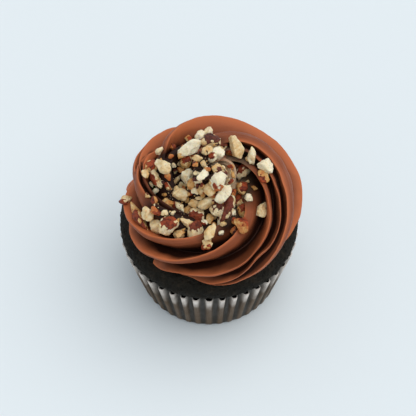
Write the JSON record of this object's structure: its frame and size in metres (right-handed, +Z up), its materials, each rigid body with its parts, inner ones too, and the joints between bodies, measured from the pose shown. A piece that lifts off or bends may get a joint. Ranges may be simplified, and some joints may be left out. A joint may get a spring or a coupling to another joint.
{
  "type": "cupcake",
  "caption": "Chocolate cupcake in a pleated paper baking cup, with a swirl of piped chocolate frosting and chopped nuts on top.",
  "frame": {"origin": "centre of the flat foot of the paper cup, on the surface that it stands on", "axes": "+Z up from the foot to the peak of the swirl; the picture looks along +Y with +X to the right"},
  "size_m": [0.0695, 0.0688, 0.0718],
  "materials": {
    "paper": "thin greaseproof baking paper, pale on the folds and darkened by fat in the valleys",
    "cake_crumb": "matt dark chocolate sponge with an open crumb",
    "frosting": "smooth chocolate buttercream with a soft sheen",
    "nut_flesh": "matt cream flesh of chopped pecans",
    "nut_skin": "striated red-brown pecan skin"
  },
  "bodies": {
    "root": {"paper_case": "paper", "cake": "cake_crumb", "frosting": "frosting"}
  },
  "joints": []
}
